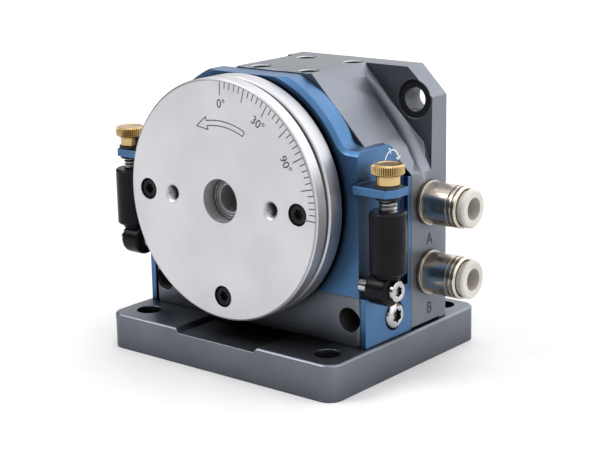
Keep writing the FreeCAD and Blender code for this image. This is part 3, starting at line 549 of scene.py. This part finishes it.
def ring_stack(rings, steps=ROUND_STEPS):
    """Closed surface through rings of (radius, height, wave, lobes) along +Z."""
    points = []
    for radius, height, wave, lobes in rings:
        for step in range(steps):
            angle = 2 * math.pi * step / steps
            reach = radius + wave * math.cos(lobes * angle)
            points.append((reach * math.cos(angle), reach * math.sin(angle), height))
    faces = [tuple(reversed(range(steps)))]
    for ring in range(len(rings) - 1):
        for step in range(steps):
            here = ring * steps + step
            beside = ring * steps + (step + 1) % steps
            faces.append((here, beside, beside + steps, here + steps))
    last = (len(rings) - 1) * steps
    faces.append(tuple(range(last, last + steps)))
    return points, faces


def round_rings(*pairs):
    """Rings without lobes from (radius, height) pairs."""
    return [(radius, height, 0.0, 0) for radius, height in pairs]


def hollow_stack(profile, steps=ROUND_STEPS):
    """Ring-shaped solid from a closed (radius, height) profile about +Z."""
    points = []
    for radius, height in profile:
        for step in range(steps):
            angle = 2 * math.pi * step / steps
            points.append((radius * math.cos(angle), radius * math.sin(angle), height))
    faces = []
    for ring in range(len(profile)):
        below = ring * steps
        above = (ring + 1) % len(profile) * steps
        for step in range(steps):
            beside = (step + 1) % steps
            faces.append((below + step, below + beside, above + beside, above + step))
    return points, faces


def coil(base_r, tip_r, pitch, length):
    """Thread ridge: a triangle swept along a helix about +Z, closed at both ends."""
    count = max(COIL_STEPS, int(COIL_STEPS * (length / pitch - COIL_END)))
    half = COIL_HALF * pitch
    points = []
    for step in range(count + 1):
        angle = 2 * math.pi * step / COIL_STEPS
        height = half + pitch * step / COIL_STEPS
        for radius, lift in ((base_r, -half), (tip_r, 0.0), (base_r, half)):
            points.append((radius * math.cos(angle), radius * math.sin(angle), height + lift))
    faces = [(2, 1, 0), (3 * count, 3 * count + 1, 3 * count + 2)]
    for step in range(count):
        for corner in range(3):
            here = 3 * step + corner
            beside = 3 * step + (corner + 1) % 3
            faces.append((here, beside, beside + 3, here + 3))
    return points, faces


def moved(shape, point, direction):
    """Points of a shape made about +Z, set at a point and turned to a direction."""
    points, faces = shape
    turn = UP.rotation_difference(direction).to_matrix()
    return [turn @ Vector(p) + point for p in points], faces


def joined(shapes):
    """One shape from several."""
    points, faces = [], []
    for more_points, more_faces in shapes:
        start = len(points)
        points.extend(more_points)
        faces.extend(tuple(start + number for number in face) for face in more_faces)
    return points, faces


def sharpen(mesh):
    """Smooth faces with sharp edges where the surface turns."""
    shape = bmesh.new()
    shape.from_mesh(mesh)
    bmesh.ops.recalc_face_normals(shape, faces=shape.faces)
    for face in shape.faces:
        face.smooth = True
    for edge in shape.edges:
        edge.smooth = len(edge.link_faces) == 2 and edge.calc_face_angle() < SHARP_ANGLE
    shape.to_mesh(mesh)
    shape.free()


def piece(name, shape, body, finish, replaced=None):
    """Mesh object in the part's frame that rides on a body."""
    points, faces = shape
    mesh = bpy.data.meshes.new(name)
    mesh.from_pydata([tuple(p) for p in points], [], faces)
    sharpen(mesh)
    mesh.materials.append(finishes[finish])
    item = bpy.data.objects.new(name, mesh)
    bpy.context.scene.collection.objects.link(item)
    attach(item, body)
    if replaced:
        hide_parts(replaced)


def dress_nodes():
    """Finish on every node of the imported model, and soft edges on those that show."""
    for name, item in frame["nodes"].items():
        item.data.materials.clear()
        item.data.materials.append(finishes[slot_of(name)])
        for face in item.data.polygons:
            face.material_index = 0
            face.use_smooth = True
        width = EDGE_WIDTHS.get(name)
        if width:
            soften(item, width, BLOCK_EDGE_TURN if name == "actuator_body" else EDGE_TURN)


def soften(item, width, turn):
    """Rounded edges on a node by modifiers, with its own mesh as it is."""
    weld = item.modifiers.new("weld", "WELD")
    weld.merge_threshold = WELD_REACH
    bevel = item.modifiers.new("edges", "BEVEL")
    bevel.width = width
    bevel.segments = EDGE_SEGMENTS
    bevel.limit_method = "ANGLE"
    bevel.angle_limit = turn
    bevel.use_clamp_overlap = False
    bevel.loop_slide = False
    split = item.modifiers.new("split", "EDGE_SPLIT")
    split.split_angle = SPLIT_TURN
    split.use_edge_sharp = False
    normals = item.modifiers.new("normals", "WEIGHTED_NORMAL")
    normals.keep_sharp = True


def star_rings(socket_r, top, depth):
    """Rings of a six-lobed socket that goes down from a flat top."""
    wave = STAR_WAVE * socket_r
    return [
        (STAR_MOUTH * socket_r, top, 0.0, 0),
        (socket_r, top - STAR_LEAD, wave, STAR_LOBES),
        (socket_r, top - depth, wave, STAR_LOBES),
        (STAR_TIP * socket_r, top - depth - STAR_CONE, 0.0, 0),
    ]


def shank_rings(shank_r, length):
    """Rings of a screw's shank from its tip to its seat at the origin."""
    tip_z = -length + SHANK_TIP_HEIGHT * shank_r
    return round_rings((SHANK_TIP * shank_r, -length), (shank_r, tip_z), (shank_r, 0.0))


def cap_head(radius, height, shank_r, length, socket_r):
    """Cylindrical screw with a star socket, seated at the origin with its head along +Z."""
    rim = CAP_RIM * radius
    rings = shank_rings(shank_r, length)
    rings += round_rings((radius, 0.0), (radius, height - rim), (radius - rim, height))
    return ring_stack(rings + star_rings(socket_r, height, CAP_SOCKET * height), SCREW_STEPS)


def domed_head(radius, height, shank_r, length, socket_r):
    """Domed screw with a star socket, seated at the origin with its head along +Z."""
    rings = shank_rings(shank_r, length)
    rings += round_rings((radius, 0.0), (radius, DOME_FOOT * height))
    flat_r = DOME_FLAT * socket_r
    for part in range(1, DOME_PARTS + 1):
        swing = math.pi / 2 * part / DOME_PARTS
        reach = flat_r + (radius - flat_r) * math.cos(swing)
        rings.append((reach, height * (DOME_FOOT + DOME_RISE * math.sin(swing)), 0.0, 0))
    return ring_stack(rings + star_rings(socket_r, height, DOME_SOCKET * height), SCREW_STEPS)


def make_table_screws():
    """Star-socket screws in the table, with black linings of the gaps round their heads as painted shade."""
    low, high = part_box("table_screws")
    axis = middle_of("table_plate")
    circle_r = (high.x - low.x) / 2 - TABLE_HEAD_R
    seat_y = low.y + TABLE_HEAD_HEIGHT
    seats = [Vector((axis.x + x, seat_y, axis.z + z))
             for x, z in ((circle_r, 0), (-circle_r, 0), (0, -circle_r))]
    head = cap_head(TABLE_HEAD_R, TABLE_HEAD_HEIGHT, TABLE_SHANK_R, high.y - seat_y, TABLE_SOCKET_R)
    piece("table_screw_heads", joined([moved(head, seat, FRONT) for seat in seats]),
          body_of("table_screws"), "black_steel", "table_screws")
    depth = seat_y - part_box("table_plate")[0].y
    # Painted shade: black lining of the gap round each head
    head_gap_r = TABLE_HEAD_R + WELL_HEAD_GAP
    lining = hollow_stack((
        (WELL_R, 0.0), (WELL_R, depth - WELL_EDGE), (WELL_R - WELL_RIM, depth - WELL_RIM_DROP),
        (head_gap_r, WELL_EDGE), (head_gap_r, 0.0)))
    piece("table_screw_well_shade", joined([moved(lining, seat, FRONT) for seat in seats]),
          body_of("table_screws"), "hole_painted_shade")


def make_bore_rings():
    """Turned rings on the floor of the table's bore."""
    axis = middle_of("table_plate")
    floor = Vector((axis.x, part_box("table_hub")[0].y, axis.z))
    shapes = []
    for inner, outer, height in BORE_RINGS:
        edge_z = height - BORE_RING_BREAK
        profile = ((inner, 0.0), (outer, 0.0), (outer, edge_z), (outer - BORE_RING_BREAK, height),
                   (inner + BORE_RING_BREAK, height), (inner, edge_z))
        shapes.append(moved(hollow_stack(profile, FINE_STEPS), floor, FRONT))
    piece("bore_rings", joined(shapes), "table", "tap_metal")


def make_side_screws():
    """Domed screws in the legs, and cap screws with a ring round them in the eyes."""
    low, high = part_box("leg_screws")
    centre = (low + high) / 2
    radius = (high.z - low.z) / 2
    head = domed_head(radius, LEG_HEAD_HEIGHT, LEG_SHANK_R, LEG_LENGTH, LEG_SOCKET_R)
    shapes = []
    for side in (1, -1):
        seat = Vector((side * (high.x - LEG_HEAD_HEIGHT), centre.y, centre.z))
        shapes.append(moved(head, seat, side * RIGHT))
    piece("leg_screw_heads", joined(shapes), body_of("leg_screws"), "stainless", "leg_screws")
    for name, side in (("right", 1), ("left", -1)):
        node = name + "_eye_screw"
        low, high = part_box(node)
        centre = (low + high) / 2
        radius = (high.z - low.z) / 2
        tip_x = high.x if side > 0 else low.x
        seat = Vector((tip_x - side * EYE_HEAD_HEIGHT, centre.y, centre.z))
        length = high.x - low.x - EYE_HEAD_HEIGHT
        head = cap_head(radius, EYE_HEAD_HEIGHT, EYE_SHANK_R, length, EYE_SOCKET_R)
        piece(node + "_head", moved(head, seat, side * RIGHT), body_of(node), "stainless", node)
        ring = hollow_stack([(radius + reach * MM, height * MM) for reach, height in EYE_RING])
        piece(name + "_eye_ring", moved(ring, seat, side * RIGHT), body_of(node), "damper_black")


def make_knob(name):
    """Knurled knob of one side."""
    low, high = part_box(name + "_knob")
    centre = (low + high) / 2
    radius = (high.x - low.x) / 2
    foot = Vector((centre.x, centre.y, low.z))
    height = high.z - low.z
    head = height - KNOB_HEAD
    wave = KNURL_DEPTH / 2
    crest = radius - wave
    rings = round_rings((KNOB_NECK_R - KNOB_FOOT_BREAK, 0.0), (KNOB_NECK_R, KNOB_FOOT_HEIGHT),
                        (KNOB_NECK_R, head - KNOB_GROOVE_DROP), (KNOB_NECK_R - KNOB_GROOVE, head),
                        (crest - KNOB_UNDER_BREAK, head))
    rings.append((crest, head + KNOB_UNDER_HEIGHT, wave, KNURL_COUNT))
    rings.append((crest, height - KNOB_TOP_DROP, wave, KNURL_COUNT))
    rings += round_rings((crest - KNOB_TOP_BREAK, height - KNOB_TOP_BREAK_DROP),
                         (crest - KNOB_TOP_INSET, height), (KNOB_DISH_OUTER * radius, height),
                         (KNOB_DISH_INNER * radius, height - KNOB_DISH_DROP))
    shape = moved(ring_stack(rings, KNURL_STEPS * KNURL_COUNT), foot, UP)
    piece(name + "_knob_knurled", shape, body_of(name + "_knob"), "brass", name + "_knob")


def make_stud(name):
    """Threaded stud of one side."""
    centre = middle_of(name + "_knob")
    low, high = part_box(name + "_stud")
    radius = (high.x - low.x) / 2
    core = radius - STUD_DEPTH
    length = high.z - low.z
    ends = round_rings((core - STUD_FOOT_BREAK, 0.0), (core, STUD_FOOT_BREAK),
                       (core, length - STUD_TOP_DROP), (core - STUD_TOP_BREAK, length))
    foot = Vector((centre.x, centre.y, low.z))
    thread = coil(core - STUD_SINK, radius, STUD_PITCH, length)
    shape = joined([moved(ring_stack(ends), foot, UP), moved(thread, foot, UP)])
    piece(name + "_stud_thread", shape, body_of(name + "_stud"), "steel", name + "_stud")


def make_columns():
    """Knobs and studs of both sides."""
    for name in ("right", "left"):
        make_knob(name)
        make_stud(name)


def thread_cup(outer, depth, pitch, length):
    """Lining of a tapped hole, with thread ridges inside and a floor, open towards -Z."""
    crest = outer - depth
    root = outer - CUP_LAND
    rings = [(outer, length), (outer, 0.0), (root, 0.0)]
    for number in range(int(length / pitch)):
        rings.append((crest, (number + 0.5) * pitch))
        rings.append((root, (number + 1) * pitch))
    rings.append((CUP_FLOOR * crest, rings[-1][1]))
    return ring_stack(round_rings(*rings), CUP_STEPS)


def cone_ring(low, high):
    """Thin lining of the cone at the mouth of a top hole, between two heights."""
    outer = TOP_HOLE_R - LINING_GAP
    inner = TOP_HOLE_R - CONE_INSET
    return hollow_stack(((outer + low, low), (outer + high, high), (inner + high, high), (inner + low, low)))


def make_taps():
    """Threads in the tapped holes of the table, lip and top, black as painted shade in the lip and top
    holes, and bright mouths of the top holes with painted shade on their inner part.
    """
    low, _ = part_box("table_plate")
    axis = middle_of("table_plate")
    cup = thread_cup(TAP_R - LINING_GAP, TAP_DEPTH, TAP_PITCH, TAP_LENGTH)
    mouths = [Vector((axis.x + side * TAP_X, low.y + TAP_LEAD, axis.z)) for side in (1, -1)]
    piece("table_tap_threads", joined([moved(cup, mouth, -FRONT) for mouth in mouths]), "table", "tap_metal")
    cup = thread_cup(LIP_HOLE_R - LINING_GAP, LIP_DEPTH, LIP_PITCH, LIP_HOLE_LENGTH)
    mouths = [Vector((side * LIP_HOLE_X, LIP_FRONT_Y + LIP_HOLE_LEAD, LIP_HOLE_Z)) for side in (1, -1)]
    # Painted shade: the lip holes are lined in black
    piece("lip_tap_threads", joined([moved(cup, mouth, -FRONT) for mouth in mouths]), "frame", "hole_painted_shade")
    _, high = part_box("actuator_body")
    # Painted shade: the top holes are lined in black, also on the inner part of their mouths
    cup = thread_cup(TOP_HOLE_R - LINING_GAP, LIP_DEPTH, LIP_PITCH, TOP_HOLE_LENGTH)
    mouths = [Vector((x, y, high.z - TOP_HOLE_BREAK)) for x in TOP_HOLE_XS for y in TOP_HOLE_YS]
    shapes = [moved(cup, mouth, -UP) for mouth in mouths]
    shapes += [moved(cone_ring(0.0, CONE_SHADE_TOP), mouth, UP) for mouth in mouths]
    piece("top_tap_threads", joined(shapes), "frame", "hole_painted_shade")
    shapes = [moved(cone_ring(CONE_SHADE_TOP, CONE_TOP), mouth, UP) for mouth in mouths]
    piece("top_tap_mouths", joined(shapes), "frame", "tap_metal")


def make_ear_lining():
    """Black lining of the spot face round the ear's hole, as painted shade."""
    wall_r = EAR_SPOT_R - LINING_GAP
    profile = ((EAR_HOLE_R + EAR_FLOOR_START, 0.0), (wall_r, 0.0), (wall_r, EAR_SPOT_DEPTH),
               (EAR_SPOT_R - EAR_RIM, EAR_SPOT_DEPTH), (EAR_SPOT_R - EAR_WALL, EAR_FLOOR_THICK),
               (EAR_HOLE_R + EAR_WALL, EAR_FLOOR_THICK))
    floor = Vector((EAR_HOLE_X, EAR_FRONT_Y + EAR_SPOT_DEPTH, EAR_HOLE_Z))
    # Painted shade in the spot face round the ear's hole
    piece("ear_spot_shade", moved(hollow_stack(profile, FINE_STEPS), floor, FRONT), "frame", "hole_painted_shade")


def dial_point(radius, degrees):
    """Place on the table's front, with degrees clockwise from the top."""
    low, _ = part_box("table_plate")
    axis = middle_of("table_plate")
    angle = math.radians(degrees)
    return Vector((axis.x + radius * math.sin(angle), low.y, axis.z + radius * math.cos(angle)))


def bar(start, end, width, normal):
    """Thin printed bar between two points on a face."""
    along = (end - start).normalized()
    across = along.cross(normal).normalized() * (width / 2)
    corners = [start - across, end - across, end + across, start + across]
    points = corners + [corner + normal * MARK_THICK for corner in corners]
    faces = [(3, 2, 1, 0), (4, 5, 6, 7), (0, 1, 5, 4), (1, 2, 6, 5), (2, 3, 7, 6), (3, 0, 4, 7)]
    return points, faces


def line_through(points, width, normal):
    """Printed bars along a row of points."""
    return joined([bar(a, b, width, normal) for a, b in zip(points, points[1:])])


def make_dial():
    """Scale ticks, numbers and the outline arrow on the turning table."""
    ticks = []
    for number in range(DIAL_COUNT):
        degrees = DIAL_START + number * DIAL_STEP
        start_r = TICK_LONG if number % DIAL_LONG_EVERY == 0 else TICK_SHORT
        ticks.append(bar(dial_point(start_r, degrees), dial_point(TICK_OUTER, degrees), TICK_WIDTH, FRONT))
    piece("dial_ticks", joined(ticks), "table", "dark_mark")
    sweep = [ARROW_TAIL + (ARROW_NECK - ARROW_TAIL) * k / ARROW_STEPS for k in range(ARROW_STEPS + 1)]
    outer = [dial_point(ARROW_R + ARROW_HALF, degrees) for degrees in sweep]
    inner = [dial_point(ARROW_R - ARROW_HALF, degrees) for degrees in sweep]
    head = [dial_point(ARROW_R + ARROW_HEAD_HALF, ARROW_NECK + ARROW_OUTER_BARB),
            dial_point(ARROW_R, ARROW_TIP),
            dial_point(ARROW_R - ARROW_HEAD_HALF, ARROW_NECK + ARROW_INNER_BARB)]
    outline = outer + head + inner[::-1] + outer[:1]
    piece("dial_arrow", line_through(outline, ARROW_LINE, FRONT), "table", "dark_mark")
    for number, (text, degrees) in enumerate(DIAL_NUMBERS):
        turn = Matrix.Rotation(math.radians(degrees), 4, Vector((0, 1, 0))) @ facing(FRONT)
        write("dial_number_%d" % number, text, NUMBER_SIZE, dial_point(NUMBER_R, degrees), turn,
              "table", "dark_mark", NUMBER_BOLD)


def facing(normal):
    """Turn that stands text upright on a face with that outward normal."""
    across = UP.cross(normal).normalized()
    return Matrix((across, UP, normal)).transposed().to_4x4()


def write(name, text, size, point, turn, body, finish, bold):
    """Text as a thin mesh, centred at a point, with strokes thickened by bold."""
    curve = bpy.data.curves.new(name, "FONT")
    curve.body = text
    curve.size = size
    curve.align_x = "CENTER"
    curve.extrude = MARK_THICK / 2
    curve.offset = bold
    source = bpy.data.objects.new(name + "_source", curve)
    mesh = bpy.data.meshes.new_from_object(source)
    bpy.data.objects.remove(source)
    bpy.data.curves.remove(curve)
    mesh.name = name
    mesh.transform(Matrix.Translation(point) @ turn @ Matrix.Translation((0, 0, MARK_THICK / 2)))
    mesh.materials.clear()
    mesh.materials.append(finishes[finish])
    item = bpy.data.objects.new(name, mesh)
    bpy.context.scene.collection.objects.link(item)
    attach(item, body)


def symbol_point(degrees, radius):
    """Place on the right cheek, about the middle of the turning symbol."""
    angle = math.radians(degrees)
    centre = Vector((CHEEK_X, SYMBOL_Y, SYMBOL_Z))
    return centre + Vector((0, radius * math.cos(angle), radius * math.sin(angle)))


def make_marks():
    """Port letters on the block and the turning symbol on the right ear."""
    _, block_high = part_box("actuator_body")
    for letter in "ab":
        port = middle_of("port_%s_fitting" % letter)
        point = Vector((block_high.x, port.y, port.z - LETTER_DROP - LETTER_SIZE * LETTER_MIDDLE))
        write("port_letter_" + letter, letter.upper(), LETTER_SIZE, point, facing(RIGHT),
              "frame", "letter_mark", LETTER_BOLD)
    rows = [[symbol_point(SYMBOL_START - SYMBOL_STEP * k, SYMBOL_R) for k in range(SYMBOL_POINTS)]]
    for outer, tip, inner in SYMBOL_HEADS:
        rows.append([symbol_point(outer, SYMBOL_R + SYMBOL_BARB), symbol_point(tip, SYMBOL_R),
                     symbol_point(inner, SYMBOL_R - SYMBOL_BARB)])
    shapes = [line_through(row, SYMBOL_LINE, RIGHT) for row in rows]
    piece("turning_symbol", joined(shapes), "frame", "pale_mark")


def make_floor():
    """Pale floor under the part."""
    floor_mesh = bpy.data.meshes.new("floor")
    corners = [(x * FLOOR_REACH, y * FLOOR_REACH, 0) for x, y in ((-1, -1), (1, -1), (1, 1), (-1, 1))]
    floor_mesh.from_pydata(corners, [], [(0, 1, 2, 3)])
    floor = bpy.data.objects.new("floor", floor_mesh)
    bpy.context.scene.collection.objects.link(floor)
    floor_mesh.materials.append(surface(
        "floor_paint", (0.66, 0.66, 0.665), (0.68, 0.68, 0.685), metallic=0.0,
        rough=(0.7, 0.8), grain=40, depth=0.0001))


def make_lamps():
    """Soft lamp at the right, and a broad key light from the front left."""
    side_lamp = bpy.data.lights.new("side", "AREA")
    side_lamp.shape = "RECTANGLE"
    side_lamp.size, side_lamp.size_y = SIDE_SIZE
    side_lamp.energy = SIDE_POWER
    side = bpy.data.objects.new("side", side_lamp)
    side.location = SIDE_PLACE
    toward_part = middle_of("actuator_body") - Vector(SIDE_PLACE)
    side.rotation_euler = toward_part.to_track_quat("-Z", "Y").to_euler()
    bpy.context.scene.collection.objects.link(side)
    key_lamp = bpy.data.lights.new("key", "SUN")
    key_lamp.energy = KEY_STRENGTH
    key_lamp.angle = KEY_ANGLE
    key = bpy.data.objects.new("key", key_lamp)
    key.rotation_euler = (-Vector(KEY_FROM)).to_track_quat("-Z", "Y").to_euler()
    bpy.context.scene.collection.objects.link(key)


def make_surround():
    """White surround that is bright above and behind, and dim in front."""
    world = bpy.data.worlds.new("studio")
    world.use_nodes = True
    tree = world.node_tree
    place = tree.nodes.new("ShaderNodeTexCoord")
    toward = tree.nodes.new("ShaderNodeVectorMath")
    toward.operation = "DOT_PRODUCT"
    toward.inputs[1].default_value = Vector(SKY_TOWARD).normalized()
    span = tree.nodes.new("ShaderNodeMapRange")
    span.inputs["From Min"].default_value = SKY_DIM_AT
    span.inputs["From Max"].default_value = SKY_BRIGHT_AT
    span.inputs["To Min"].default_value = SKY_DIM
    span.inputs["To Max"].default_value = SKY_BRIGHT
    tree.links.new(place.outputs["Generated"], toward.inputs[0])
    tree.links.new(toward.outputs["Value"], span.inputs["Value"])
    backdrop = tree.nodes["Background"]
    backdrop.inputs["Color"].default_value = (1, 1, 1, 1)
    tree.links.new(span.outputs["Result"], backdrop.inputs["Strength"])
    bpy.context.scene.world = world
    bpy.context.scene.view_settings.view_transform = "Standard"


def make_camera():
    """Camera fitted to the photograph."""
    lens = bpy.data.cameras.new("camera")
    lens.sensor_width = CAMERA_SENSOR
    lens.lens = CAMERA_LENS
    lens.clip_start = CAMERA_NEAR
    lens.clip_end = CAMERA_FAR
    camera = bpy.data.objects.new("camera", lens)
    turn, rise, roll = (math.radians(angle) for angle in CAMERA_ANGLES)
    back = Vector((math.sin(turn) * math.cos(rise), -math.cos(turn) * math.cos(rise), math.sin(rise)))
    level = Vector((math.cos(turn), math.sin(turn), 0))
    upright = back.cross(level)
    across = level * math.cos(roll) + upright * math.sin(roll)
    above = upright * math.cos(roll) - level * math.sin(roll)
    turned = Matrix((across, above, back)).transposed().to_4x4()
    camera.matrix_world = Matrix.Translation(Vector(CAMERA_PLACE) * MM) @ turned
    bpy.context.scene.collection.objects.link(camera)
    bpy.context.scene.camera = camera


finishes = make_finishes()
dress_nodes()
make_table_screws()
make_bore_rings()
make_side_screws()
make_columns()
make_taps()
make_ear_lining()
make_dial()
make_marks()
make_floor()
make_lamps()
make_surround()
make_camera()

bpy.context.view_layer.update()
